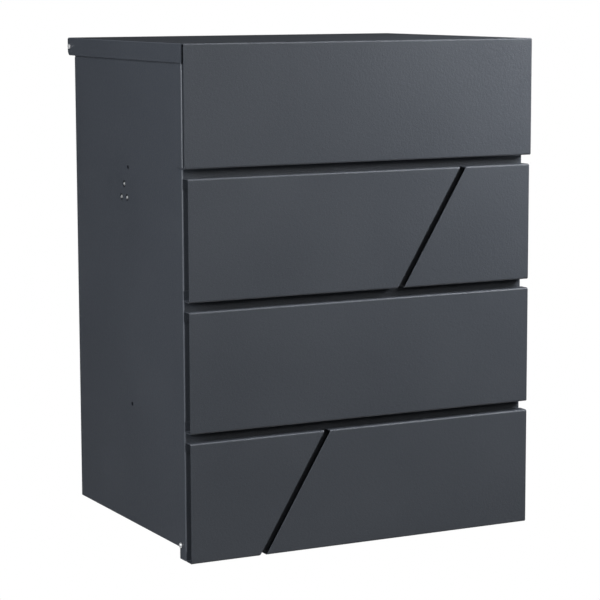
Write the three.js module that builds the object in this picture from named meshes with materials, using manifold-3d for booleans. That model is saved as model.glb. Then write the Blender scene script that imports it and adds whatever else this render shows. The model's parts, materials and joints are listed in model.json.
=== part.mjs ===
// Wall-hung parcel and letter box in folded sheet steel.
// Millimetres, +Z up, front towards -Y. The origin is the centre of the upper wall rail's
// mounting face. Inside the `assembly` group, X is centred, Y runs back from the face of the
// decor slats and Z runs up from their lower edge.
import * as THREE from 'three';
import { mergeVertices } from 'three/addons/utils/BufferGeometryUtils.js';
import Module from 'manifold-3d';

const wasm = await Module();
wasm.setup();

// ---- driving dimensions ------------------------------------------------------------------
const SHEET = 1.0;
const BEND = 2.0;
const BEND_STEPS = 6;
const GAP = 0.3;
const RUN = 0.4;

const SLAT_HALF = 200;
const SLAT_HEIGHT = 124;
const SLAT_PITCH = 133.5;
const SLAT_LIP = 11;
const SLIT_X = -119.0;
const SLIT_LEAN = 0.606;
const SLIT_HALF = 3.8;

const DOOR_FACE = 14.6;
const DOOR_TOP = 399.5;
const DOOR_FLANGE = 29;
const DOOR_RETURN = 42;

const HEADER_BOTTOM = 401;
const BODY_HALF = 198.6;
const BODY_INNER = BODY_HALF - SHEET;
const BODY_FRONT = 20;
const BODY_BOTTOM = 11.4;
const BODY_TOP = 516;
const BODY_REAR = 302;
const BACK_TOP = 503.3;
const RETURN = 12.6;
const GUTTER = 6.2;

const LID_HALF = 202.8;
const LID_TOP = 524.5;
const LID_FACE = 1.8;
const LID_SKIRT = 505.2;
const LID_SKIRT_FRONT = 7.8;
const LID_REAR = 311.5;
const LID_UNDER = LID_TOP - SHEET;
const LID_PANEL_BOTTOM = 3 * SLAT_PITCH;

const LID_PIVOT = [305.5, 515];
const DOOR_PIVOT = [25.5, 14.5];
const TRAY_PIVOT = [280, 392];
const CRANK = [-44.3, -7.8];
const STRUT_PIVOT = [166.6, 364.7];
const PIN_R = 2.0;

const TRAY_HALF = 168;
const TRAY_LENGTH = 234;
const TRAY_HANG = THREE.MathUtils.degToRad(75);
const SHAFT_R = 4;

const CRANK_X = 186;
const LINK_X = 188.3;
const PLATE = 2;
const STRUT_X = 179;
const STRUT_STUD_R = 4;
const LINK_PIN_R = 2.5;

const LOCK_Z = 425;
const LOCK_BARREL_R = 9;
const LOCK_BORE_R = 5.9;
const WALL = 320;
const RAIL_Z = [80, 430];
const RAIL_HALF = 160;
const WALL_SCREW_X = 120;
const RAIL_SHEET = 1.5;
const RAIL_BEND = 2.5;

// ---- materials ---------------------------------------------------------------------------
const FINISHES = {
  coat: { color: 0x3b3f46, roughness: 0.55, metalness: 0.1 },
  zinc: { color: 0xa9abad, roughness: 0.35, metalness: 0.9 },
  dark_zinc: { color: 0x2b2c2e, roughness: 0.45, metalness: 0.7 },
  chrome: { color: 0xc9cacc, roughness: 0.15, metalness: 1.0 },
  rubber: { color: 0x17181a, roughness: 0.9, metalness: 0.0 },
};

// ---- geometry helpers --------------------------------------------------------------------
function signedVolume(position, triangles) {
  let sum = 0;
  const [a, b, c] = [new THREE.Vector3(), new THREE.Vector3(), new THREE.Vector3()];
  for (let i = 0; i < triangles.length; i += 3) {
    a.fromBufferAttribute(position, triangles[i]);
    b.fromBufferAttribute(position, triangles[i + 1]);
    c.fromBufferAttribute(position, triangles[i + 2]);
    sum += a.dot(b.cross(c));
  }
  return sum / 6;
}

// Merges shared vertices, drops collapsed triangles and turns the faces outward.
function weld(geometry) {
  const bare = geometry.clone();
  bare.deleteAttribute('normal');
  bare.deleteAttribute('uv');
  const merged = mergeVertices(bare, 1e-4);
  const index = merged.getIndex().array;
  const kept = [];
  for (let i = 0; i < index.length; i += 3) {
    const [a, b, c] = [index[i], index[i + 1], index[i + 2]];
    if (a !== b && b !== c && c !== a) kept.push(a, b, c);
  }
  if (signedVolume(merged.getAttribute('position'), kept) < 0) kept.reverse();
  merged.setIndex(kept);
  return merged;
}

function toSolid(geometry) {
  const welded = weld(geometry);
  const vertProperties = new Float32Array(welded.getAttribute('position').array);
  const triVerts = new Uint32Array(welded.getIndex().array);
  return new wasm.Manifold(new wasm.Mesh({ numProp: 3, vertProperties, triVerts }));
}

function toGeometry(solid) {
  const mesh = solid.getMesh();
  const geometry = new THREE.BufferGeometry();
  geometry.setAttribute('position', new THREE.BufferAttribute(mesh.vertProperties, 3));
  geometry.setIndex(new THREE.BufferAttribute(mesh.triVerts, 1));
  return geometry;
}

function join(...geometries) {
  return toGeometry(geometries.map(toSolid).reduce((sum, next) => sum.add(next)));
}

function cut(geometry, ...tools) {
  const remove = (left, tool) => left.subtract(tool);
  return toGeometry(tools.map(toSolid).reduce(remove, toSolid(geometry)));
}

function box(x0, x1, y0, y1, z0, z1) {
  const geometry = new THREE.BoxGeometry(x1 - x0, y1 - y0, z1 - z0);
  return geometry.translate((x0 + x1) / 2, (y0 + y1) / 2, (z0 + z1) / 2);
}

const AXES = {
  x: [new THREE.Vector3(0, 1, 0), new THREE.Vector3(0, 0, 1), new THREE.Vector3(1, 0, 0)],
  y: [new THREE.Vector3(0, 0, 1), new THREE.Vector3(1, 0, 0), new THREE.Vector3(0, 1, 0)],
  z: [new THREE.Vector3(1, 0, 0), new THREE.Vector3(0, 1, 0), new THREE.Vector3(0, 0, 1)],
};

// Extrudes a shape along an axis from `start` to `end`. The shape's own two axes are
// Y, Z for an X extrusion, Z, X for a Y extrusion and X, Y for a Z extrusion.
function extrude(axis, shape, start, end) {
  const geometry = new THREE.ExtrudeGeometry(shape, {
    depth: end - start, bevelEnabled: false, curveSegments: 8,
  });
  geometry.translate(0, 0, start);
  return geometry.applyMatrix4(new THREE.Matrix4().makeBasis(...AXES[axis]));
}

// A solid of revolution about an axis: `profile` lists [radius, distance along the axis].
function turn(axis, profile, centre, segments = 16) {
  const points = profile.map(([radius, along]) => new THREE.Vector2(radius, along));
  const geometry = new THREE.LatheGeometry(points, segments);
  const [u, v, w] = AXES[axis];
  geometry.applyMatrix4(new THREE.Matrix4().makeBasis(v, w, u));
  const offset = { x: [0, ...centre], y: [centre[0], 0, centre[1]], z: [...centre, 0] }[axis];
  return geometry.translate(...offset);
}

function rod(axis, radius, start, end, centre, segments = 16) {
  return turn(axis, [[0, start], [radius, start], [radius, end], [0, end]], centre, segments);
}

function mirrored(geometry) {
  return weld(geometry.clone().scale(-1, 1, 1));
}

// Section of a strip folded at right angles: `line` is one face of it, with the sheet on the
// right-hand side of the line.
function strip(line, sheet = SHEET, bend = BEND) {
  const points = line.map(([u, v]) => new THREE.Vector2(u, v));
  const face = [];
  const back = [];
  const normal = (from, to) => {
    const way = to.clone().sub(from).normalize();
    return new THREE.Vector2(way.y, -way.x);
  };
  const last = points.length - 1;
  points.forEach((corner, i) => {
    const before = i > 0 ? normal(points[i - 1], corner) : null;
    const after = i < last ? normal(corner, points[i + 1]) : null;
    if (!before || !after) {
      face.push(corner);
      back.push(corner.clone().addScaledVector(before ?? after, sheet));
      return;
    }
    const inward = before.cross(after) < 0;
    const reach = inward ? bend : bend - sheet;
    const side = inward ? 1 : -1;
    const centre = corner.clone()
      .addScaledVector(before, side * reach)
      .addScaledVector(after, side * reach);
    for (let k = 0; k <= BEND_STEPS; k += 1) {
      const angle = before.angle() - (side * Math.PI / 2) * (k / BEND_STEPS);
      const ray = new THREE.Vector2(Math.cos(angle), Math.sin(angle)).multiplyScalar(-side);
      face.push(centre.clone().addScaledVector(ray, reach));
      back.push(centre.clone().addScaledVector(ray, reach - side * sheet));
    }
  });
  return new THREE.Shape([...face, ...back.reverse()]);
}

// A flat bar with round ends between two points of the Y-Z plane.
function bar(from, to, radius, x0, x1) {
  const way = new THREE.Vector2(to[0] - from[0], to[1] - from[1]);
  const angle = way.angle();
  const shape = new THREE.Shape();
  shape.absarc(to[0], to[1], radius, angle - Math.PI / 2, angle + Math.PI / 2, false);
  shape.absarc(from[0], from[1], radius, angle + Math.PI / 2, angle + 1.5 * Math.PI, false);
  return extrude('x', shape, x0, x1);
}

const plus = (a, b) => [a[0] + b[0], a[1] + b[1]];

// ---- assembly ----------------------------------------------------------------------------
const assembly = new THREE.Group();
assembly.position.set(0, -WALL, -RAIL_Z[1]);

function add(name, finish, geometry) {
  const mesh = new THREE.Mesh(weld(geometry), new THREE.MeshStandardMaterial(FINISHES[finish]));
  mesh.name = name;
  assembly.add(mesh);
  return mesh;
}

// Makes a piece modelled on the right-hand side (+X) and its mirror image on the left.
function addPair(stem, finish, geometry, tail = '') {
  add(`${stem}_right${tail}`, finish, geometry);
  add(`${stem}_left${tail}`, finish, mirrored(geometry));
}

// ---- fixed body --------------------------------------------------------------------------
const BRACKET_SCREWS = [[166.6, 374], [174.3, 360], [159.2, 360]];
const CLINCH_HOLE_R = 3.8;
const SPARE_HOLES = [[155.9, 392, 2.3], [152.6, 140, 2.6]];
const SIDE_REAR = BODY_REAR - SHEET - GAP;
const LOW_RELIEF = 12.6;
const HIGH_RELIEF = 18;
const FRONT_RELIEF = 14;
const REAR_RELIEF = 10;
const ACCESS_HOLE_R = 7;
const WALL_SCREW_HOLE_R = 3.5;
const FLANGE_HALF = BODY_HALF - RETURN - 2;

// Side panel: a flat sheet with lugs for both hinges and returns on all four edges. The
// returns stop short of the corners, where the sheet is notched for folding.
function sidePanel() {
  const lidLugR = 4.5;
  const doorLugR = 4.2;
  const low = BODY_BOTTOM + LOW_RELIEF;
  const high = BODY_TOP - HIGH_RELIEF;
  const fore = BODY_FRONT + FRONT_RELIEF;
  const aft = BODY_REAR - REAR_RELIEF;
  const edge = BODY_HALF - RETURN;
  const panel = join(
    box(BODY_INNER, BODY_HALF, BODY_FRONT, SIDE_REAR, BODY_BOTTOM, BODY_TOP),
    rod('x', lidLugR, BODY_INNER, BODY_HALF, LID_PIVOT),
    box(BODY_INNER, BODY_HALF, SIDE_REAR - 5, LID_PIVOT[0], LID_PIVOT[1] - lidLugR, BODY_TOP),
    rod('x', doorLugR, BODY_INNER, BODY_HALF, DOOR_PIVOT),
    box(edge, BODY_HALF, BODY_FRONT, BODY_FRONT + SHEET, low, high),
    box(BODY_HALF - GUTTER, BODY_HALF, fore, aft, BODY_TOP - SHEET, BODY_TOP),
    box(edge, BODY_HALF, SIDE_REAR - SHEET, SIDE_REAR, low, high),
    box(edge, BODY_HALF, fore + 2, aft, BODY_BOTTOM, BODY_BOTTOM + SHEET),
  );
  const through = (radius, centre) => rod('x', radius, BODY_INNER - 1, BODY_HALF + 1, centre);
  return cut(
    panel,
    through(PIN_R + RUN, LID_PIVOT),
    through(PIN_R + RUN, DOOR_PIVOT),
    ...BRACKET_SCREWS.map((centre) => through(CLINCH_HOLE_R, centre)),
    ...SPARE_HOLES.map(([y, z, radius]) => through(radius, [y, z])),
  );
}

// Back panel: a flat sheet with a stiffening flange along its top and holes through which the
// wall screws in the rails are reached from inside.
function backPanel() {
  const flangeDepth = 14;
  const flangeHalf = BODY_HALF - RETURN - GAP;
  const panel = join(
    box(-BODY_HALF, BODY_HALF, BODY_REAR - SHEET, BODY_REAR, BODY_BOTTOM, BACK_TOP),
    box(
      -flangeHalf, flangeHalf, BODY_REAR - flangeDepth, BODY_REAR - SHEET / 2,
      BACK_TOP - SHEET, BACK_TOP,
    ),
  );
  const access = RAIL_Z.flatMap((z) => [-WALL_SCREW_X, WALL_SCREW_X].map(
    (x) => rod('y', ACCESS_HOLE_R, BODY_REAR - 3, BODY_REAR + 1, [x, z]),
  ));
  return cut(panel, ...access);
}

// Floor of the box, resting on the side panels' bottom returns, notched beside the door hinge.
function bottomPanel() {
  const floor = BODY_BOTTOM + SHEET + GAP;
  const front = BODY_FRONT + SHEET + GAP;
  const rear = SIDE_REAR - SHEET - GAP;
  const half = BODY_INNER - GAP;
  const lipHeight = 12;
  const notch = 12;
  const panel = join(
    box(-half, half, front, rear, floor, floor + SHEET),
    box(-FLANGE_HALF, FLANGE_HALF, front, front + SHEET, floor, floor + lipHeight),
    box(-FLANGE_HALF, FLANGE_HALF, rear - SHEET, rear, floor, floor + lipHeight),
  );
  const corner = box(190, 200, BODY_FRONT, BODY_FRONT + notch, floor - 1, floor + SHEET + 1);
  return cut(panel, corner, mirrored(corner));
}

// Section, seen from above, of the sheet that both the header and the door plate are folded
// from: the front face and the two side flanges.
function frontWrap() {
  return strip([
    [SLAT_HALF, DOOR_FLANGE], [SLAT_HALF, DOOR_FACE],
    [-SLAT_HALF, DOOR_FACE], [-SLAT_HALF, DOOR_FLANGE],
  ]);
}

function frontHeader() {
  const root = DOOR_FACE + SHEET / 2;
  const lowerReach = 30;
  const upperReach = 32;
  return cut(
    join(
      extrude('z', frontWrap(), HEADER_BOTTOM, BODY_TOP),
      box(-FLANGE_HALF, FLANGE_HALF, root, lowerReach, HEADER_BOTTOM, HEADER_BOTTOM + SHEET),
      box(-FLANGE_HALF, FLANGE_HALF, root, upperReach, BODY_TOP - SHEET, BODY_TOP),
    ),
    rod('y', LOCK_BARREL_R + RUN, DOOR_FACE - 1, DOOR_FACE + 3, [0, LOCK_Z]),
  );
}

// Top-hat rail behind the back panel: two feet against the panel and a crown on the wall.
function wallRail(z) {
  const foot = 30;
  const crown = 18;
  const front = BODY_REAR + GAP;
  const section = strip([
    [front + RAIL_SHEET, z + foot], [front + RAIL_SHEET, z + crown], [WALL, z + crown],
    [WALL, z - crown], [front + RAIL_SHEET, z - crown], [front + RAIL_SHEET, z - foot],
  ], RAIL_SHEET, RAIL_BEND);
  const holes = [-WALL_SCREW_X, WALL_SCREW_X].map(
    (x) => rod('y', WALL_SCREW_HOLE_R, WALL - 4, WALL + 1, [x, z]),
  );
  return cut(extrude('x', section, -RAIL_HALF, RAIL_HALF), ...holes);
}

addPair('side_panel', 'coat', sidePanel());
add('back_panel', 'coat', backPanel());
add('bottom_panel', 'coat', bottomPanel());
add('front_header', 'coat', frontHeader());
add('wall_rail_lower', 'coat', wallRail(RAIL_Z[0]));
add('wall_rail_upper', 'coat', wallRail(RAIL_Z[1]));

// Strut bracket: a three-cornered plate on the side panel with a shouldered, capped stud.
function strutBracket() {
  const outer = BODY_INNER - GAP;
  const inner = outer - PLATE;
  const corner = 8;
  const shape = new THREE.Shape();
  const [top, rear, front] = BRACKET_SCREWS;
  shape.absarc(top[0], top[1], corner, Math.PI * 0.15, Math.PI * 0.85, false);
  shape.absarc(front[0], front[1], corner, Math.PI * 0.85, Math.PI * 1.5, false);
  shape.absarc(rear[0], rear[1], corner, Math.PI * 1.5, Math.PI * 2.15, false);
  const cap = STRUT_X - 5;
  const shoulder = STRUT_X + 5;
  const stud = turn('x', [
    [0, cap - 2], [5.5, cap - 2], [5.5, cap], [STRUT_STUD_R, cap],
    [STRUT_STUD_R, shoulder], [5, shoulder], [5, inner + 1], [0, inner + 1],
  ], STRUT_PIVOT);
  const holes = BRACKET_SCREWS.map((centre) => rod('x', PIN_R + GAP, inner - 1, outer + 1, centre));
  return cut(join(extrude('x', shape, inner, outer), stud), ...holes);
}

// Screw from the inside: pan head, shank and a slightly domed end that shows in the nut.
function bracketScrew(centre) {
  const seat = BODY_INNER - GAP - PLATE - GAP;
  return turn('x', [
    [0, seat - 2.2], [2.6, seat - 2.0], [3.4, seat - 1.2], [3.6, seat], [PIN_R, seat],
    [PIN_R, BODY_HALF - 0.1], [1.2, BODY_HALF + 0.4], [0, BODY_HALF + 0.5],
  ], centre);
}

function clinchNut(centre) {
  const start = BODY_INNER;
  const end = BODY_HALF - 0.35;
  return turn('x', [
    [PIN_R + GAP, start], [CLINCH_HOLE_R - GAP, start], [CLINCH_HOLE_R - GAP, end],
    [PIN_R + GAP, end], [PIN_R + GAP, start],
  ], centre);
}

addPair('strut_bracket', 'zinc', strutBracket());
BRACKET_SCREWS.forEach((centre, i) => {
  addPair('bracket_screw', 'zinc', bracketScrew(centre), `_${i + 1}`);
  addPair('clinch_nut', 'dark_zinc', clinchNut(centre), `_${i + 1}`);
});

// Flanged bush on the side panel that carries one end of the tray's shaft.
function trayBush() {
  const seat = BODY_INNER - GAP;
  const flange = seat - 2;
  const nose = seat - 6.3;
  const bore = SHAFT_R + RUN;
  return turn('x', [
    [bore, nose], [7, nose], [7, flange], [11, flange], [11, seat], [bore, seat], [bore, nose],
  ], TRAY_PIVOT);
}

addPair('tray_bush', 'dark_zinc', trayBush());
addPair('lid_bumper', 'rubber', rod('z', 6, BODY_TOP + GAP, LID_UNDER - GAP, [150, 23]));

// ---- lock --------------------------------------------------------------------------------
const LOCK_CENTRE = [0, LOCK_Z];
const LOCK_REAR = 33;
const CAM_FACE = LOCK_REAR + GAP;
const CAM_SPIGOT_R = 2.5;
const CAM_SLOT_X = [-9, 25];
const CAM_SLOT_Y = [31, 38];

// Barrel with a domed collar in front of the header.
function lockBody() {
  const face = 11.2;
  const seat = DOOR_FACE - GAP;
  return turn('y', [
    [LOCK_BORE_R, face], [9.5, face], [11, face + 1], [11, seat], [LOCK_BARREL_R, seat],
    [LOCK_BARREL_R, LOCK_REAR], [LOCK_BORE_R, LOCK_REAR], [LOCK_BORE_R, face],
  ], LOCK_CENTRE);
}

function lockNut() {
  const seat = DOOR_FACE + SHEET + GAP;
  const thickness = 4;
  return cut(
    rod('y', 13.5, seat, seat + thickness, LOCK_CENTRE, 6),
    rod('y', LOCK_BARREL_R + GAP, seat - 1, seat + thickness + 1, LOCK_CENTRE),
  );
}

// Plug with its key slot, and a spigot at the rear that carries the cam.
function lockPlug() {
  const face = 11.6;
  const radius = LOCK_BORE_R - RUN;
  const rear = LOCK_REAR - 0.5;
  const tip = CAM_FACE + PLATE;
  const plug = turn('y', [
    [0, face], [radius, face], [radius, rear], [CAM_SPIGOT_R, rear], [CAM_SPIGOT_R, tip], [0, tip],
  ], LOCK_CENTRE);
  return cut(plug, box(-4, 4, face - 1, face + 6.4, LOCK_Z - 0.9, LOCK_Z + 0.9));
}

function lockCam() {
  const reach = 30;
  const halfWidth = 6;
  const rear = CAM_FACE + PLATE;
  return cut(
    join(
      box(0, reach, CAM_FACE, rear, LOCK_Z - halfWidth, LOCK_Z + halfWidth),
      rod('y', 9, CAM_FACE, rear, LOCK_CENTRE),
    ),
    rod('y', CAM_SPIGOT_R + GAP, CAM_FACE - 1, rear + 1, LOCK_CENTRE),
  );
}

function lockCamScrew() {
  const seat = CAM_FACE + PLATE + GAP;
  return rod('y', 4, seat, seat + 2.7, LOCK_CENTRE, 6);
}

add('lock_body', 'chrome', lockBody());
add('lock_nut', 'zinc', lockNut());
add('lock_plug', 'chrome', lockPlug());
add('lock_cam', 'zinc', lockCam());
add('lock_cam_screw', 'zinc', lockCamScrew());

// ---- lid ---------------------------------------------------------------------------------
// Lid: the tall front panel with its bottom lip, and a cap with skirts at both sides and rear.
function lidShell() {
  const lipRear = LID_FACE + SLAT_LIP;
  const front = extrude('x', strip([
    [lipRear, LID_PANEL_BOTTOM], [LID_FACE, LID_PANEL_BOTTOM], [LID_FACE, LID_TOP],
    [LID_SKIRT_FRONT + 0.5, LID_TOP],
  ]), -LID_HALF, LID_HALF);
  const cap = extrude('y', strip([
    [LID_SKIRT, LID_HALF], [LID_TOP, LID_HALF], [LID_TOP, -LID_HALF], [LID_SKIRT, -LID_HALF],
  ]), LID_SKIRT_FRONT, LID_REAR);
  const rearHalf = 195;
  const rearEdge = box(
    -rearHalf, rearHalf, LID_REAR - SHEET, LID_REAR, LID_SKIRT, LID_TOP - SHEET / 2,
  );
  const radius = 6;
  const within = 198;
  const corner = new THREE.Shape();
  corner.moveTo(LID_REAR + 1, LID_SKIRT - 1);
  corner.lineTo(LID_REAR + 1, LID_SKIRT + radius);
  corner.absarc(LID_REAR - radius, LID_SKIRT + radius, radius, 0, -Math.PI / 2, true);
  corner.lineTo(LID_REAR - radius, LID_SKIRT - 1);
  return cut(
    join(front, cap, rearEdge),
    extrude('x', corner, within, LID_HALF + 1),
    extrude('x', corner, -LID_HALF - 1, -within),
    rod('x', PIN_R + GAP, within, LID_HALF + 1, LID_PIVOT),
    rod('x', PIN_R + GAP, -LID_HALF - 1, -within, LID_PIVOT),
  );
}

// Headed pivot pin: domed head outside `face`, shank, and an upset collar inside `inside`.
function pivotPin(centre, face, inside, headRadius) {
  const seat = face + GAP;
  const collar = inside - GAP;
  return turn('x', [
    [0, collar - 2.4], [2.8, collar - 2.4], [3.4, collar - 1.8], [3.4, collar], [PIN_R, collar],
    [PIN_R, seat], [headRadius, seat], [headRadius, seat + 0.6], [headRadius * 0.85, seat + 1.3],
    [headRadius * 0.5, seat + 1.8], [0, seat + 2],
  ], centre, 24);
}

const LINK_TOP = plus(LID_PIVOT, CRANK);
const LINK_DROP = [TRAY_PIVOT[0] - LID_PIVOT[0], TRAY_PIVOT[1] - LID_PIVOT[1]];
const LINK_BOTTOM = plus(LINK_TOP, LINK_DROP);

// Bracket under the lid: a foot against the lid and a web with the hole for the link's pin.
function lidLug() {
  const web = new THREE.Shape();
  const [y, z] = LINK_TOP;
  const foot = LID_UNDER - GAP;
  const half = 22;
  const nose = 8;
  const outer = CRANK_X + PLATE;
  web.moveTo(y - half, foot);
  web.lineTo(y - nose, z - 2);
  web.absarc(y, z, nose, Math.PI * 1.1, Math.PI * 1.9, false);
  web.lineTo(y + half, foot);
  return cut(
    join(
      extrude('x', web, CRANK_X, outer),
      box(CRANK_X - 14, outer, y - half, y + half, foot - PLATE, foot),
    ),
    rod('x', LINK_PIN_R + GAP, CRANK_X - 1, outer + 1, LINK_TOP),
  );
}

// Pin through a 2 mm plate at CRANK_X and the link beside it, with a head at each end.
function linkPin(centre, innerEnd) {
  const inner = CRANK_X - GAP;
  const outer = LINK_X + PLATE + GAP;
  return turn('x', [
    [0, innerEnd], [3.2, innerEnd], [3.2, inner], [LINK_PIN_R, inner],
    [LINK_PIN_R, outer], [3.6, outer], [3.2, outer + 1], [0, outer + 1],
  ], centre);
}

function trayLink() {
  const eye = (centre) => rod('x', LINK_PIN_R + RUN, LINK_X - 1, LINK_X + PLATE + 1, centre);
  return cut(
    bar(LINK_BOTTOM, LINK_TOP, 6.5, LINK_X, LINK_X + PLATE),
    eye(LINK_TOP),
    eye(LINK_BOTTOM),
  );
}

add('lid_shell', 'coat', lidShell());
addPair('lid_hinge_pin', 'chrome', pivotPin(LID_PIVOT, LID_HALF, BODY_INNER, 2.7));
addPair('lid_lug', 'zinc', lidLug());
addPair('lid_link_pin', 'zinc', linkPin(LINK_TOP, STRUT_X + 4.6));
addPair('tray_link', 'zinc', trayLink());

// ---- lid struts --------------------------------------------------------------------------
const STRUT_WAY = [LINK_TOP[0] - STRUT_PIVOT[0], LINK_TOP[1] - STRUT_PIVOT[1]];
const STRUT_LENGTH = Math.hypot(...STRUT_WAY);
const STRUT_TURN = -Math.atan2(STRUT_WAY[0], STRUT_WAY[1]);
const CYLINDER_END = 112;
const BARREL_R = 7.5;
const ROD_R = 3.2;
const EYE_HALF = 4;

// Strut pieces are modelled upright from the lower pivot and then leaned into place.
function leanStrut(geometry) {
  const place = new THREE.Matrix4().makeTranslation(STRUT_X, ...STRUT_PIVOT);
  return geometry.applyMatrix4(place.multiply(new THREE.Matrix4().makeRotationX(STRUT_TURN)));
}

// Cylinder with an eye and a short neck at its lower end, bored from the top.
function strutCylinder() {
  const boreBottom = 22;
  const barrel = join(
    rod('z', BARREL_R, 12, CYLINDER_END, [0, 0]),
    rod('x', BARREL_R, -EYE_HALF, EYE_HALF, [0, 0]),
    box(-EYE_HALF, EYE_HALF, -5, 5, 3, 14),
  );
  return leanStrut(cut(
    barrel,
    rod('z', ROD_R + RUN, boreBottom, CYLINDER_END + 1, [0, 0]),
    rod('x', STRUT_STUD_R + RUN, -EYE_HALF - 1, EYE_HALF + 1, [0, 0]),
  ));
}

// Rod with a collar and an eye at its upper end.
function strutRod() {
  const rodBottom = 28;
  const top = [0, STRUT_LENGTH];
  const body = join(
    rod('z', ROD_R, rodBottom, STRUT_LENGTH - 4, [0, 0]),
    rod('z', 5, STRUT_LENGTH - 24, STRUT_LENGTH - 5, [0, 0]),
    rod('x', 7, -EYE_HALF, EYE_HALF, top),
  );
  return leanStrut(cut(body, rod('x', LINK_PIN_R + RUN, -EYE_HALF - 1, EYE_HALF + 1, top)));
}

addPair('strut_cylinder', 'dark_zinc', strutCylinder());
addPair('strut_rod', 'chrome', strutRod());

// ---- anti-theft tray ---------------------------------------------------------------------
// Modelled level, reaching forward (-Y) from its shaft, and then swung down to hang.
function hang(geometry) {
  const place = new THREE.Matrix4().makeTranslation(0, ...TRAY_PIVOT);
  return geometry.applyMatrix4(place.multiply(new THREE.Matrix4().makeRotationX(TRAY_HANG)));
}

function trayPanel() {
  const top = -SHAFT_R - GAP;
  const frontLip = 12;
  const rearLip = 10;
  const rear = 6;
  const section = strip([
    [-TRAY_LENGTH, top - frontLip], [-TRAY_LENGTH, top], [rear, top], [rear, top - rearLip],
  ]);
  const rib = (x) => box(
    x, x + SHEET, -TRAY_LENGTH + 3, rear - 2, top - rearLip, top - SHEET / 2,
  );
  return hang(join(
    extrude('x', section, -TRAY_HALF, TRAY_HALF),
    rib(-TRAY_HALF),
    rib(TRAY_HALF - SHEET),
  ));
}

add('tray_panel', 'coat', trayPanel());
add('tray_shaft', 'zinc', rod('x', SHAFT_R, -BODY_INNER + 1, BODY_INNER - 1, TRAY_PIVOT));

// Arm with a hub clamped on the shaft; the link's lower pin goes through its tip.
function trayCrank() {
  const tip = plus(TRAY_PIVOT, CRANK);
  const outer = CRANK_X + PLATE;
  const hubEnd = CRANK_X - 6;
  return cut(
    join(
      bar(TRAY_PIVOT, tip, 7, CRANK_X, outer),
      rod('x', 8.5, hubEnd, outer, TRAY_PIVOT),
    ),
    rod('x', SHAFT_R + GAP, hubEnd - 2, outer + 1, TRAY_PIVOT),
    rod('x', LINK_PIN_R + GAP, CRANK_X - 1, outer + 1, tip),
  );
}

addPair('tray_crank', 'zinc', trayCrank());
addPair('tray_link_pin', 'zinc', linkPin(LINK_BOTTOM, CRANK_X - 1.8));

// ---- door and decor slats ----------------------------------------------------------------
// Door plate: the folded wrap with a top return, in which the lock's cam has a slot.
function doorPlate() {
  const returnHalf = 182;
  const root = DOOR_FACE + SHEET / 2;
  const pinHole = rod('x', PIN_R + GAP, SLAT_HALF - 3, SLAT_HALF + 1, DOOR_PIVOT);
  return cut(
    join(
      extrude('z', frontWrap(), 0, DOOR_TOP),
      box(-returnHalf, returnHalf, root, DOOR_RETURN, DOOR_TOP - SHEET, DOOR_TOP),
    ),
    box(...CAM_SLOT_X, ...CAM_SLOT_Y, DOOR_TOP - 3, DOOR_TOP + 1),
    pinHole,
    mirrored(pinHole),
  );
}

function slat(index) {
  const bottom = index * SLAT_PITCH;
  const top = bottom + SLAT_HEIGHT;
  const rear = DOOR_FACE - GAP;
  const section = strip([
    [rear, bottom + SLAT_LIP], [rear, bottom], [0, bottom],
    [0, top], [rear, top], [rear, top - SLAT_LIP],
  ]);
  return extrude('x', section, -SLAT_HALF, SLAT_HALF);
}

// Removes everything of a slat on one side (+1 right, -1 left) of the leaning slit.
function slatPart(index, removed) {
  const low = index * SLAT_PITCH - 1;
  const high = low + SLAT_HEIGHT + 2;
  const edge = (z) => SLIT_X + SLIT_LEAN * z - removed * SLIT_HALF;
  const far = removed * (SLAT_HALF + 5);
  const shape = new THREE.Shape([
    new THREE.Vector2(low, edge(low)), new THREE.Vector2(high, edge(high)),
    new THREE.Vector2(high, far), new THREE.Vector2(low, far),
  ]);
  return cut(slat(index), extrude('y', shape, -1, DOOR_FACE + 1));
}

add('door_plate', 'coat', doorPlate());
add('slat_lower_left', 'coat', slatPart(0, 1));
add('slat_lower_right', 'coat', slatPart(0, -1));
add('slat_middle', 'coat', slat(1));
add('slat_upper_left', 'coat', slatPart(2, 1));
add('slat_upper_right', 'coat', slatPart(2, -1));
addPair('door_hinge_pin', 'chrome', pivotPin(DOOR_PIVOT, SLAT_HALF, BODY_INNER, 2.9));

export default assembly;
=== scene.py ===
"""Wall-hung parcel and letter box: finished surfaces, small hardware, light and camera."""
import json
import math

import bmesh
import bpy
from mathutils import Matrix, Quaternion, Vector


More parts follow.
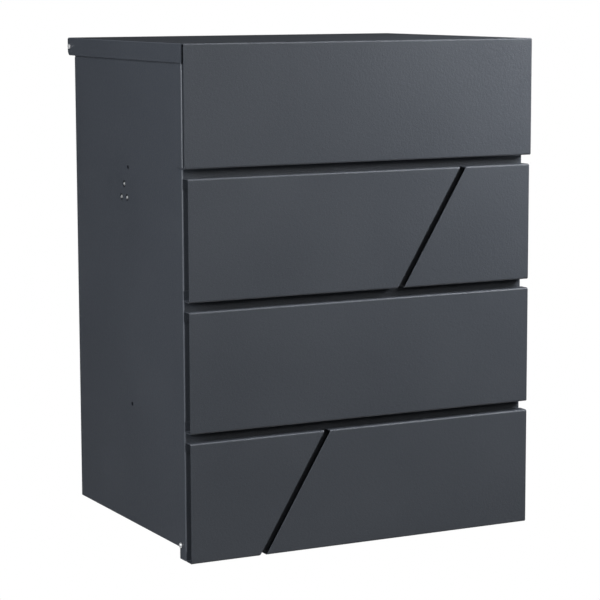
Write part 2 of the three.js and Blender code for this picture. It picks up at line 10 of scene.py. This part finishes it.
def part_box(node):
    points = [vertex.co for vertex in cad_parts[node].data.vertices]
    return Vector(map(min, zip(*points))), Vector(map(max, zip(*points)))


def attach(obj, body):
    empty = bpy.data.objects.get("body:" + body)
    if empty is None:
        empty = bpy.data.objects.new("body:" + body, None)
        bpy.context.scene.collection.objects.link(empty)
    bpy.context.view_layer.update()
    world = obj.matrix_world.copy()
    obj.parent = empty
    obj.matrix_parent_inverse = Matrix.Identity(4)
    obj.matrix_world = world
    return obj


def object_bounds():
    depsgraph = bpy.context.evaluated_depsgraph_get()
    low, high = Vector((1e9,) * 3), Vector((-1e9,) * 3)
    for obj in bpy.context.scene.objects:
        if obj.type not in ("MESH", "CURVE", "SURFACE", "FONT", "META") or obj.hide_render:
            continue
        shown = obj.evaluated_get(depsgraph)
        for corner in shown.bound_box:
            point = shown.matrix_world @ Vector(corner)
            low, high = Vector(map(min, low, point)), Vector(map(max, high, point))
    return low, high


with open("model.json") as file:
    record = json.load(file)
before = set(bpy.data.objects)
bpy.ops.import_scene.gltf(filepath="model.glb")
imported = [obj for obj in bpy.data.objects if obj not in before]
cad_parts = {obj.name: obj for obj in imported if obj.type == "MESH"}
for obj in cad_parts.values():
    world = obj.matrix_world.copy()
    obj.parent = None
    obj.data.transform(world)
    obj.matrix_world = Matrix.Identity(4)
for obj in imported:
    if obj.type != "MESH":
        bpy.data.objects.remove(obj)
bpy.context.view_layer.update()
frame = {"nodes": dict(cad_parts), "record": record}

scene = bpy.context.scene
MM = 0.001


# ---- node helpers ------------------------------------------------------------------------
def new_material(name):
    material = bpy.data.materials.new(name)
    material.use_nodes = True
    nodes = material.node_tree.nodes
    nodes.clear()
    output = nodes.new("ShaderNodeOutputMaterial")
    shader = nodes.new("ShaderNodeBsdfPrincipled")
    material.node_tree.links.new(shader.outputs["BSDF"], output.inputs["Surface"])
    return material, material.node_tree, shader


def object_coordinates(tree):
    return tree.nodes.new("ShaderNodeTexCoord").outputs["Object"]


def noise(tree, vector, scale, detail):
    node = tree.nodes.new("ShaderNodeTexNoise")
    node.inputs["Scale"].default_value = scale
    node.inputs["Detail"].default_value = detail
    node.inputs["Roughness"].default_value = 0.5
    tree.links.new(vector, node.inputs["Vector"])
    return node.outputs["Fac"]


def ramp(tree, value, low, high, dark, light):
    """Maps a value between low and high to a grey or colour between dark and light."""
    node = tree.nodes.new("ShaderNodeValToRGB")
    for stop, position, colour in zip(node.color_ramp.elements, (low, high), (dark, light)):
        stop.position = position
        stop.color = (*(colour if isinstance(colour, tuple) else (colour,) * 3), 1.0)
    tree.links.new(value, node.inputs["Fac"])
    return node.outputs["Color"]


def bump(tree, height, strength, distance, before=None):
    node = tree.nodes.new("ShaderNodeBump")
    node.inputs["Strength"].default_value = strength
    node.inputs["Distance"].default_value = distance
    tree.links.new(height, node.inputs["Height"])
    if before is not None:
        tree.links.new(before, node.inputs["Normal"])
    return node.outputs["Normal"]


def mix_colour(tree, factor, first, second):
    node = tree.nodes.new("ShaderNodeMix")
    node.data_type = "RGBA"
    tree.links.new(factor, node.inputs["Factor"])
    for socket, value in (("A", first), ("B", second)):
        target = [s for s in node.inputs if s.name == socket and s.type == "RGBA"][0]
        if isinstance(value, tuple):
            target.default_value = (*value, 1.0)
        else:
            tree.links.new(value, target)
    return [s for s in node.outputs if s.type == "RGBA"][0]


# Largest part of a surface's unit normal along one of the object's axes.
FULLY_TURNED = 0.76
STILL_FLAT = 0.93


def bend_mask(tree):
    """1 where the surface turns between two of the object's own axes, 0 on its flat sides."""
    away = tree.nodes.new("ShaderNodeVectorMath")
    away.operation = "ABSOLUTE"
    split = tree.nodes.new("ShaderNodeSeparateXYZ")
    tree.links.new(tree.nodes.new("ShaderNodeTexCoord").outputs["Normal"], away.inputs[0])
    tree.links.new(away.outputs["Vector"], split.inputs["Vector"])
    largest = split.outputs["X"]
    for other in ("Y", "Z"):
        node = tree.nodes.new("ShaderNodeMath")
        node.operation = "MAXIMUM"
        tree.links.new(largest, node.inputs[0])
        tree.links.new(split.outputs[other], node.inputs[1])
        largest = node.outputs["Value"]
    return ramp(tree, largest, FULLY_TURNED, STILL_FLAT, 1.0, 0.0)


# ---- materials ---------------------------------------------------------------------------
# Noise scales.
COAT_GRAIN = 1150.0
COAT_PEEL = 420.0
COAT_CLOUD = 9.0
METAL_GRAIN = 900.0
METAL_CLOUD = 60.0
RUBBER_GRAIN = 1200.0
# Brightness of a metal's darker clouds beside its own colour.
METAL_DULL = 0.82


def powder_coat(gloss):
    """Fine-texture anthracite powder coat: small bumped crests with painted glints on them, over
    orange peel, and a painted highlight, a lighter base colour where the surface turns, at bends
    and bevelled edges."""
    material, tree, shader = new_material("powder_coat")
    place = object_coordinates(tree)
    grain = noise(tree, place, COAT_GRAIN, 2.0)
    peel = noise(tree, place, COAT_PEEL, 2.0)
    cloud = noise(tree, place, COAT_CLOUD, 3.0)
    thin = (0.0394, 0.0452, 0.0560)
    thick = (0.0445, 0.0507, 0.0621)
    # Painted glints: a lighter base colour flecked onto the grain's crests stands in for the
    # sparkle of light they catch.
    painted_glint = (0.0625, 0.069, 0.083)
    # Painted highlight: a lighter base colour on bends and bevelled edges stands in for the light
    # they reflect.
    painted_bend_highlight = (0.094, 0.104, 0.124)
    base = ramp(tree, cloud, 0.30, 0.70, thin, thick)
    with_glints = mix_colour(tree, ramp(tree, grain, 0.50, 0.66, 0.0, 0.8), base, painted_glint)
    with_bend_highlight = mix_colour(tree, bend_mask(tree), with_glints, painted_bend_highlight)
    tree.links.new(with_bend_highlight, shader.inputs["Base Color"])
    tree.links.new(ramp(tree, cloud, 0.25, 0.75, 0.47, 0.55), shader.inputs["Roughness"])
    normal = bump(tree, peel, 0.50, 0.40 * MM)
    tree.links.new(bump(tree, grain, 0.60, 0.30 * MM, normal), shader.inputs["Normal"])
    shader.inputs["Specular IOR Level"].default_value = 0.5
    shader.inputs["Coat Weight"].default_value = gloss
    shader.inputs["Coat Roughness"].default_value = 0.30
    return material


def metal(name, colour, rough, metallic=1.0):
    """Plated or polished steel: a fine grain in the roughness, over faint clouds of colour."""
    material, tree, shader = new_material(name)
    place = object_coordinates(tree)
    grain = noise(tree, place, METAL_GRAIN, 3.0)
    cloud = noise(tree, place, METAL_CLOUD, 2.0)
    dull = tuple(c * METAL_DULL for c in colour)
    tree.links.new(ramp(tree, cloud, 0.35, 0.65, dull, colour), shader.inputs["Base Color"])
    uneven = ramp(tree, grain, 0.3, 0.7, rough * 0.8, rough * 1.25)
    tree.links.new(uneven, shader.inputs["Roughness"])
    tree.links.new(bump(tree, grain, 0.12, 0.03 * MM), shader.inputs["Normal"])
    shader.inputs["Metallic"].default_value = metallic
    return material


def rubber():
    material, tree, shader = new_material("rubber")
    place = object_coordinates(tree)
    grain = noise(tree, place, RUBBER_GRAIN, 3.0)
    tree.links.new(ramp(tree, grain, 0.3, 0.7, 0.012, 0.024), shader.inputs["Base Color"])
    tree.links.new(ramp(tree, grain, 0.3, 0.7, 0.72, 0.86), shader.inputs["Roughness"])
    tree.links.new(bump(tree, grain, 0.25, 0.05 * MM), shader.inputs["Normal"])
    return material


MATERIALS = {
    "powder_coat": powder_coat(0.22),
    "bright_zinc": metal("bright_zinc", (0.60, 0.61, 0.62), 0.42, metallic=0.75),
    "black_zinc": metal("black_zinc", (0.030, 0.031, 0.034), 0.42, metallic=0.6),
    "polished_steel": metal("polished_steel", (0.74, 0.74, 0.75), 0.33),
    "rubber": rubber(),
}
PIN_STEEL = metal("pin_steel", (0.90, 0.90, 0.91), 0.38, metallic=0.6)


# ---- CAD nodes: weld, soften edges, shade ------------------------------------------------
def smooth_group(name, angle):
    """Geometry nodes that shade smooth everywhere except across edges sharper than angle."""
    group = bpy.data.node_groups.new(name, "GeometryNodeTree")
    group.interface.new_socket("Geometry", in_out="INPUT", socket_type="NodeSocketGeometry")
    group.interface.new_socket("Geometry", in_out="OUTPUT", socket_type="NodeSocketGeometry")
    start = group.nodes.new("NodeGroupInput")
    end = group.nodes.new("NodeGroupOutput")
    faces = group.nodes.new("GeometryNodeSetShadeSmooth")
    edges = group.nodes.new("GeometryNodeSetShadeSmooth")
    edges.domain = "EDGE"
    edges.inputs["Shade Smooth"].default_value = False
    edge_angle = group.nodes.new("GeometryNodeInputMeshEdgeAngle")
    compare = group.nodes.new("FunctionNodeCompare")
    compare.operation = "GREATER_THAN"
    compare.inputs["B"].default_value = angle
    group.links.new(edge_angle.outputs["Unsigned Angle"], compare.inputs["A"])
    group.links.new(start.outputs[0], faces.inputs["Geometry"])
    group.links.new(faces.outputs["Geometry"], edges.inputs["Geometry"])
    group.links.new(compare.outputs["Result"], edges.inputs["Selection"])
    group.links.new(edges.outputs["Geometry"], end.inputs[0])
    return group


SMOOTH_BELOW = math.radians(32)
BEVEL_ABOVE = math.radians(40)
FLAT_WITHIN = math.radians(0.3)
WELD_WITHIN = 0.004 * MM
COATED_BEVEL = 0.30 * MM
PLATED_BEVEL = 0.12 * MM
SMOOTH = smooth_group("smooth_by_angle", SMOOTH_BELOW)


def add_smooth(piece):
    piece.modifiers.new("smooth", "NODES").node_group = SMOOTH


def add_bevel(piece, width):
    bevel = piece.modifiers.new("bevel", "BEVEL")
    bevel.width = width
    bevel.segments = 2
    bevel.limit_method = "ANGLE"
    bevel.angle_limit = BEVEL_ABOVE
    return bevel


def finish_node(node, width):
    weld = node.modifiers.new("weld", "WELD")
    weld.merge_threshold = WELD_WITHIN
    flat = node.modifiers.new("flat_faces", "DECIMATE")
    flat.decimate_type = "DISSOLVE"
    flat.angle_limit = FLAT_WITHIN
    if width > 0:
        bevel = add_bevel(node, width)
        bevel.use_clamp_overlap = False
        bevel.loop_slide = False
    add_smooth(node)
    weighted = node.modifiers.new("weighted_normals", "WEIGHTED_NORMAL")
    weighted.mode = "FACE_AREA"
    weighted.keep_sharp = True


# Left without a bevel: their folds leave steps shorter than one is wide, so it pinches faces to
# nothing or throws corners out of place.
KEPT_EXACT = {"lid_shell", "side_panel_left", "side_panel_right", "tray_panel"}
SLOT_OF = {row["node"]: row["material_slot"] for row in frame["record"]["subparts"]}


def bevel_width(name):
    if name in KEPT_EXACT:
        return 0.0
    return COATED_BEVEL if SLOT_OF[name] == "powder_coat" else PLATED_BEVEL


for name, node in frame["nodes"].items():
    node.data.materials.clear()
    node.data.materials.append(PIN_STEEL if "hinge_pin" in name else MATERIALS[SLOT_OF[name]])
    finish_node(node, bevel_width(name))


# ---- small hardware ----------------------------------------------------------------------
# Named sizes and profiles below are in mm, and * MM turns them into metres.
ACROSS = Vector((1, 0, 0))
BACKWARD = Vector((0, 1, 0))
DOWN = Vector((0, 0, -1))
SHEET = 1.0
RAIL_SHEET = 1.5
SLAT_LIP = 11
BLOCK_FACES = (
    (0, 1, 3, 2), (4, 6, 7, 5), (0, 4, 5, 1),
    (2, 3, 7, 6), (0, 2, 6, 4), (1, 5, 7, 3),
)


def add_turned(mesh, profile, origin, axis, steps=24):
    """Adds a closed solid of revolution; profile lists (radius, distance along the axis) in mm."""
    turn = axis.to_track_quat("Z", "Y")
    rings = []
    for radius, along in profile:
        if radius == 0:
            rings.append([mesh.verts.new(Vector(origin) + axis * along * MM)])
            continue
        ring = []
        for k in range(steps):
            angle = 2 * math.pi * k / steps
            spoke = Vector((radius * math.cos(angle), radius * math.sin(angle), along)) * MM
            ring.append(mesh.verts.new(Vector(origin) + turn @ spoke))
        rings.append(ring)
    closed = len(rings[0]) > 1
    pairs = list(zip(rings, rings[1:])) + ([(rings[-1], rings[0])] if closed else [])
    for first, second in pairs:
        for k in range(steps):
            corners = [first[k % len(first)], first[(k + 1) % steps % len(first)],
                       second[(k + 1) % steps % len(second)], second[k % len(second)]]
            loop = list(dict.fromkeys(corners))
            if len(loop) > 2:
                mesh.faces.new(loop)


def add_block(mesh, low_corner, high_corner, place=None):
    """Adds a box given by two corners in metres, moved by a matrix when one is given."""
    sides = list(zip(low_corner, high_corner))
    corners = [Vector((x, y, z)) for x in sides[0] for y in sides[1] for z in sides[2]]
    verts = [mesh.verts.new(place @ corner if place else corner) for corner in corners]
    for face in BLOCK_FACES:
        mesh.faces.new([verts[i] for i in face])


def make_piece(name, mesh, body, slot, bevel):
    """Makes an object of a mesh, with edges bevelled by so many mm, that moves with a body."""
    bmesh.ops.recalc_face_normals(mesh, faces=mesh.faces)
    data = bpy.data.meshes.new(name)
    mesh.to_mesh(data)
    mesh.free()
    piece = bpy.data.objects.new(name, data)
    scene.collection.objects.link(piece)
    data.materials.append(MATERIALS[slot])
    add_bevel(piece, bevel * MM)
    add_smooth(piece)
    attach(piece, body)


def centre_of(node):
    near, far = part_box(node)
    return (Vector(near) + Vector(far)) / 2


JOINTS = {row["name"]: row for row in frame["record"]["behaviour"]["joints"]}

# Profiles of turned pieces: (radius, distance along the axis).
RIVET = [(0, 0), (3.3, 0), (3.3, 0.35), (2.4, 0.95), (1.2, 1.0), (1.1, 0.5), (0, 0.5)]
WELD_MARK = [(0, 0), (2.7, 0), (2.6, 0.10), (2.0, 0.16), (1.4, 0.05), (0, 0.05)]
BUMPER = [(0, 0), (4.5, 0), (4.5, 1.0), (4.0, 4.1), (0, 4.1)]
STRUT_SEAL = [(3.5, 112), (7.1, 112), (7.1, 113), (5.2, 114.6), (3.5, 114.6)]
STRUT_CRIMP = [(7.3, 0), (7.85, 0.6), (7.85, 1.4), (7.3, 2)]
STRUT_CRIMPS_AT = (100, 106)
MARK_STEPS = 20

WELDS_X = (-130, -65, 0, 65, 130)
WELDS_Z = (-25.5, 25.5)
SLAT_RIVETS_X = (-185, -150, 0, 150, 185)
LUG_RIVETS_Y = (-15, 15)
LUG_X = 178
LUG_FOOT = 2.0
BUMPER_X = 190
BUMPER_BELOW_TOP = 14
CLIP_X = 189.4
CLIP_INNER_R = 4.05
CLIP_OUTER_R = 6.3
CLIP_THICKNESS = 0.8
RECESS_HALF_LENGTH = 1.7
RECESS_HALF_WIDTH = 0.32
RECESS_PROUD = 0.04
RECESS_DEPTH = 0.3
LID_SEAL_HALF = 178
LID_SEAL_Y = (3.6, 1.1)
LID_SEAL_HEIGHT = 2.2
TRAY_HANG = math.radians(75)
# Opposite corners, measured from the tray's pivot with the tray level.
TRAY_TRIM = ((-166, -235.2, -18.3), (166, -231.8, -12.5))


def rail_welds(rail):
    """Painted-over spot-weld marks along both feet of a wall rail."""
    mesh = bmesh.new()
    near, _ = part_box(rail)
    middle = centre_of(rail)
    foot_face = near[1] + RAIL_SHEET * MM
    for x in WELDS_X:
        for z in WELDS_Z:
            place = (x * MM, foot_face, middle.z + z * MM)
            add_turned(mesh, WELD_MARK, place, BACKWARD, MARK_STEPS)
    make_piece(rail + "_welds", mesh, "box", "powder_coat", 0.02)


def slat_rivets():
    """Blind rivets that hold the slats' lips to the back of the door plate."""
    mesh = bmesh.new()
    plate_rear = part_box("door_plate")[0][1] + SHEET * MM
    for slat in ("slat_lower_left", "slat_middle", "slat_upper_left"):
        near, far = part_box(slat)
        for z in (near[2] + SLAT_LIP / 2 * MM, far[2] - SLAT_LIP / 2 * MM):
            for x in SLAT_RIVETS_X:
                add_turned(mesh, RIVET, (x * MM, plate_rear, z), BACKWARD, MARK_STEPS)
    make_piece("slat_rivets", mesh, "door", "bright_zinc", 0.08)


def lid_seal():
    """Soft strip along the top of the header, under the front of the lid."""
    mesh = bmesh.new()
    _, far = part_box("front_header")
    front, rear = (far[1] - inset * MM for inset in LID_SEAL_Y)
    half = LID_SEAL_HALF * MM
    add_block(mesh, (-half, front, far[2]), (half, rear, far[2] + LID_SEAL_HEIGHT * MM))
    make_piece("lid_seal", mesh, "box", "rubber", 0.9)


def door_bumper(side, sign):
    """Rubber stop near the top of the door, on the back of its plate."""
    mesh = bmesh.new()
    near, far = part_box("door_plate")
    place = (sign * BUMPER_X * MM, near[1] + SHEET * MM, far[2] - BUMPER_BELOW_TOP * MM)
    add_turned(mesh, BUMPER, place, BACKWARD)
    make_piece("door_bumper_" + side, mesh, "door", "rubber", 0.5)


def strut_trim(side):
    """Dust seal on the mouth of a gas strut's cylinder and the two crimps rolled behind it."""
    pivot = JOINTS["strut_tilt_" + side]["pos_m"]
    axis = Vector(JOINTS["strut_slide_" + side]["axis"])
    seal = bmesh.new()
    add_turned(seal, STRUT_SEAL, pivot, axis)
    make_piece("strut_seal_" + side, seal, "strut_tube_" + side, "rubber", 0.15)
    crimps = bmesh.new()
    for start in STRUT_CRIMPS_AT:
        crimp = [(radius, start + along) for radius, along in STRUT_CRIMP]
        add_turned(crimps, crimp, pivot, axis)
    make_piece("strut_crimp_" + side, crimps, "strut_tube_" + side, "black_zinc", 0.1)


def screw_recesses(side, sign):
    """Dark crosses set just proud on the heads of the strut bracket's screws: painted shade of
    their cross recesses.
    """
    mesh = bmesh.new()
    for i in (1, 2, 3):
        near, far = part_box("bracket_screw_" + side + "_" + str(i))
        middle = (Vector(near) + Vector(far)) / 2
        head = near[0] if sign > 0 else far[0]
        x = sorted((head - sign * RECESS_PROUD * MM, head + sign * RECESS_DEPTH * MM))
        level = (RECESS_HALF_LENGTH, RECESS_HALF_WIDTH)
        for half_y, half_z in (level, level[::-1]):
            # Painted shade: each dark block stands where the shade inside a cross recess would be.
            add_block(
                mesh,
                (x[0], middle.y - half_y * MM, middle.z - half_z * MM),
                (x[1], middle.y + half_y * MM, middle.z + half_z * MM),
            )
    make_piece("screw_recesses_" + side, mesh, "box", "black_zinc", 0.03)


def shaft_clip(side, sign):
    """Circlip on the tray's shaft beside its bush."""
    mesh = bmesh.new()
    place = Vector((sign * CLIP_X * MM, *centre_of("tray_shaft").yz))
    end = sign * CLIP_THICKNESS
    profile = [(CLIP_INNER_R, 0), (CLIP_OUTER_R, 0), (CLIP_OUTER_R, end), (CLIP_INNER_R, end)]
    add_turned(mesh, profile, place, ACROSS)
    make_piece("shaft_clip_" + side, mesh, "tray", "black_zinc", 0.1)


def lug_rivets(side, sign):
    """Rivets that hold a lid lug's foot to the underside of the lid."""
    mesh = bmesh.new()
    _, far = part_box("lid_lug_" + side)
    foot_under = far[2] - LUG_FOOT * MM
    for y in LUG_RIVETS_Y:
        place = (sign * LUG_X * MM, centre_of("lid_link_pin_" + side).y + y * MM, foot_under)
        add_turned(mesh, RIVET, place, DOWN)
    make_piece("lug_rivets_" + side, mesh, "lid", "bright_zinc", 0.08)


def tray_edge_trim():
    """Soft channel pushed on the free edge of the tray."""
    mesh = bmesh.new()
    pivot = Vector(JOINTS["tray_swing"]["pos_m"])
    place = Matrix.Translation(pivot) @ Matrix.Rotation(TRAY_HANG, 4, "X")
    low_corner, high_corner = ([c * MM for c in corner] for corner in TRAY_TRIM)
    add_block(mesh, low_corner, high_corner, place)
    make_piece("tray_edge_trim", mesh, "tray", "rubber", 1.0)


for rail in ("wall_rail_upper", "wall_rail_lower"):
    rail_welds(rail)
slat_rivets()
lid_seal()
tray_edge_trim()
for side, sign in (("left", -1), ("right", 1)):
    door_bumper(side, sign)
    strut_trim(side)
    screw_recesses(side, sign)
    shaft_clip(side, sign)
    lug_rivets(side, sign)


# ---- stage, light and camera -------------------------------------------------------------
def split_by_ray(tree, lit, seen, output):
    """Shows one shader to the camera and lights the object by the other."""
    mix = tree.nodes.new("ShaderNodeMixShader")
    path = tree.nodes.new("ShaderNodeLightPath")
    tree.links.new(path.outputs["Is Camera Ray"], mix.inputs["Fac"])
    tree.links.new(lit, mix.inputs[1])
    tree.links.new(seen, mix.inputs[2])
    tree.links.new(mix.outputs["Shader"], output.inputs["Surface"])


def stage_material():
    material = bpy.data.materials.new("pale_floor")
    material.use_nodes = True
    tree = material.node_tree
    tree.nodes.clear()
    output = tree.nodes.new("ShaderNodeOutputMaterial")
    diffuse = tree.nodes.new("ShaderNodeBsdfDiffuse")
    diffuse.inputs["Color"].default_value = (0.60, 0.60, 0.60, 1.0)
    glow = tree.nodes.new("ShaderNodeEmission")
    glow.inputs["Strength"].default_value = 1.0
    split_by_ray(tree, diffuse.outputs["BSDF"], glow.outputs["Emission"], output)
    return material


def make_floor(height, half):
    mesh = bpy.data.meshes.new("floor")
    signs = ((-1, -1), (1, -1), (1, 1), (-1, 1))
    mesh.from_pydata([(x * half, y * half, height) for x, y in signs], [], [(0, 1, 2, 3)])
    floor = bpy.data.objects.new("floor", mesh)
    mesh.materials.append(stage_material())
    scene.collection.objects.link(floor)


def make_world(seen, ambient):
    world = bpy.data.worlds.new("studio")
    scene.world = world
    world.use_nodes = True
    tree = world.node_tree
    tree.nodes.clear()
    output = tree.nodes.new("ShaderNodeOutputWorld")
    backdrop = tree.nodes.new("ShaderNodeBackground")
    backdrop.inputs["Color"].default_value = (1.0, 1.0, 1.0, 1.0)
    backdrop.inputs["Strength"].default_value = seen
    light = tree.nodes.new("ShaderNodeBackground")
    light.inputs["Color"].default_value = (0.95, 0.975, 1.0, 1.0)
    light.inputs["Strength"].default_value = ambient
    split_by_ray(tree, light.outputs["Background"], backdrop.outputs["Background"], output)


def softbox(name, place, target, size, power, tint, glossy=True):
    """Rectangular area light in metres and watts, aimed at a target and hidden from the camera."""
    data = bpy.data.lights.new(name, "AREA")
    data.color = tint
    data.shape = "RECTANGLE"
    data.size, data.size_y = size
    data.energy = power
    light = bpy.data.objects.new(name, data)
    light.location = place
    way = Vector(target) - Vector(place)
    light.rotation_mode = "QUATERNION"
    light.rotation_quaternion = way.to_track_quat("-Z", "Y")
    light.visible_glossy = glossy
    light.visible_camera = False
    scene.collection.objects.link(light)


def make_camera(place, yaw, pitch, roll, lens):
    data = bpy.data.cameras.new("camera")
    data.sensor_width = 36.0
    data.lens = lens
    camera = bpy.data.objects.new("camera", data)
    camera.location = place
    camera.rotation_mode = "QUATERNION"
    heading = Matrix.Rotation(-math.radians(yaw), 3, "Z")
    turn = heading @ Matrix.Rotation(math.radians(90 + pitch), 3, "X")
    camera.rotation_quaternion = turn.to_quaternion() @ Quaternion((0, 0, 1), math.radians(roll))
    scene.collection.objects.link(camera)
    scene.camera = camera


FLOOR_DROP = 0.9
FLOOR_HALF = 30.0
WARM = (1.0, 0.985, 0.955)
COOL = (0.965, 0.985, 1.0)
WHITE = (1.0, 1.0, 1.0)

low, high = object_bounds()
centre = (low + high) / 2
make_floor(low.z - FLOOR_DROP, FLOOR_HALF)
make_world(seen=1.0, ambient=0.035)
softbox("key", (0.62, -0.62, 0.33), (0.2, -0.3, 0.0), (0.4, 0.4), 13.8, WARM, glossy=False)
softbox("front_fill", (0.3, -2.8, 1.2), centre, (2.0, 1.2), 24.0, WARM)
softbox("left_strip", (-1.45, -0.72, 0.34), (-0.2, -0.25, 0.0), (0.3, 0.8), 22.0, COOL)
softbox("top", (0.9, -0.5, 2.0), centre, (1.2, 0.4), 5.0, WHITE)
softbox("back_fill", (0.35, 1.8, -0.5), centre, (1.2, 1.0), 17.0, WHITE)
make_camera((-1.1116, -2.3343, 0.1496), yaw=27.208, pitch=-7.972, roll=-0.177, lens=134.39)
scene.view_settings.view_transform = "Standard"
